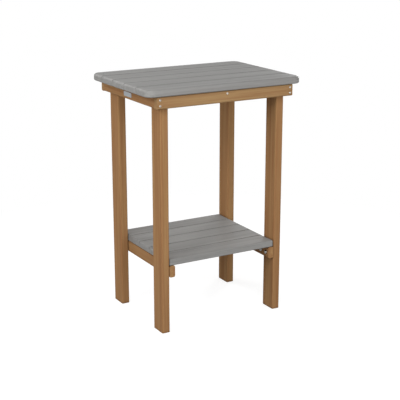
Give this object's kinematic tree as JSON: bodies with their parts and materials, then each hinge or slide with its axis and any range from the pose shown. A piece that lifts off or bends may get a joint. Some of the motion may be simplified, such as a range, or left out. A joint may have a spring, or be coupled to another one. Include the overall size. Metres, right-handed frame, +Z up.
{
  "type": "outdoor side table",
  "caption": "Tall outdoor side table of plastic lumber: slatted top with rounded corners, apron, straight legs and a slatted lower shelf on cross rails.",
  "frame": {"origin": "on the floor, at the middle of the footprint", "axes": "+X along the boards to the right, +Y to the back, +Z up"},
  "size_m": [0.643, 0.47, 0.9144],
  "materials": {
    "grey_lumber": "extruded, fine lengthwise streaks, satin",
    "brown_lumber": "extruded, lengthwise wood-tone streaks, satin",
    "stainless_steel": "plain, cold-headed"
  },
  "bodies": {
    "root": {"top_board_1": "grey_lumber", "top_board_2": "grey_lumber", "top_board_3": "grey_lumber", "top_board_4": "grey_lumber", "top_board_5": "grey_lumber", "shelf_board_1": "grey_lumber", "shelf_board_2": "grey_lumber", "shelf_board_3": "grey_lumber", "shelf_board_4": "grey_lumber", "shelf_board_5": "grey_lumber", "apron_front": "brown_lumber", "apron_back": "brown_lumber", "apron_left": "brown_lumber", "apron_right": "brown_lumber", "top_brace": "brown_lumber", "shelf_rail_left": "brown_lumber", "shelf_rail_right": "brown_lumber", "leg_front_left": "brown_lumber", "leg_front_right": "brown_lumber", "leg_back_left": "brown_lumber", "leg_back_right": "brown_lumber", "apron_screws": "stainless_steel", "leg_screws": "stainless_steel", "rail_screws": "stainless_steel", "top_screws": "stainless_steel", "brace_screws": "stainless_steel", "shelf_screws": "stainless_steel"}
  },
  "joints": []
}
